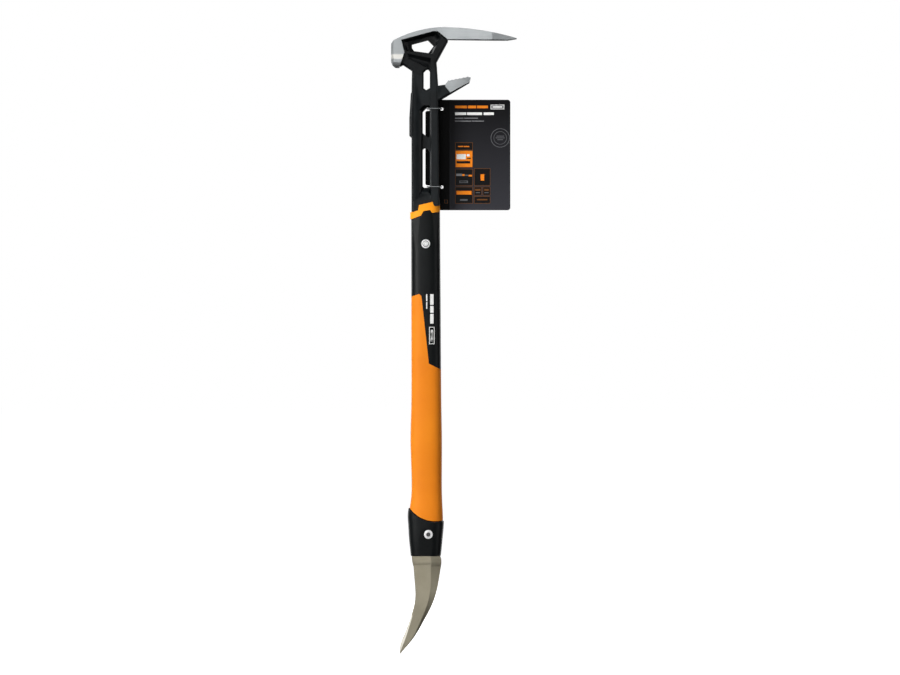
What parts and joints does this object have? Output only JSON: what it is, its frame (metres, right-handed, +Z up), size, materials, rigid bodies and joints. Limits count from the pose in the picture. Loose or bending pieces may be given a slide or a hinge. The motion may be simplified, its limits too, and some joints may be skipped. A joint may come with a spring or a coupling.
{
  "type": "demolition bar",
  "caption": "Long two-ended demolition bar: striking poll, notched nail claw and board jaw on top, soft-gripped insulated handle, curved pry claw below, hang card on ties.",
  "frame": {"origin": "middle of the hand grip, on the handle's axis", "axes": "+Z up the handle towards the head, +X the side the upper claw points to, Y the depth, with the screw heads at -Y and the card behind the shank at +Y"},
  "size_m": [0.153, 0.044, 0.762],
  "materials": {
    "head_forging": "black coated forged steel, ground bright on the poll, the ridge and the claw",
    "claw_forging": "bare forged steel, clear lacquered",
    "core_tube": "phosphated steel",
    "isolator_rubber": "matte",
    "handle_plastic": "fine spark-eroded grain",
    "grip_rubber": "matte, fine dotted grain",
    "collar_plastic": "fine spark-eroded grain",
    "screw_steel": "bright zinc",
    "washer_steel": "bright zinc",
    "bush_rubber": "matte",
    "card": "printed and laminated board",
    "tie_nylon": "clear nylon"
  },
  "bodies": {
    "bar": {"head_forging": "head_forging", "claw_forging": "claw_forging", "core_tube": "core_tube", "joint_band": "isolator_rubber", "upper_isolator": "isolator_rubber", "lower_isolator": "isolator_rubber", "handle_shell": "handle_plastic", "soft_grip": "grip_rubber", "end_collar": "collar_plastic", "upper_screw": "screw_steel", "upper_sleeve_nut": "screw_steel", "upper_washers": "washer_steel", "upper_bush": "bush_rubber", "lower_screw": "screw_steel", "lower_sleeve_nut": "screw_steel", "lower_washers": "washer_steel", "lower_bush": "bush_rubber", "upper_card_tie": "tie_nylon", "lower_card_tie": "tie_nylon"},
    "card": {"hang_card": "card"}
  },
  "joints": [
    {"name": "card_swing", "type": "hinge", "parent": "bar", "child": "card", "pos_m": [0.0192, 0.01375, 0.34285], "axis": [0, 0, 1], "range_deg": [-48, 2]}
  ]
}
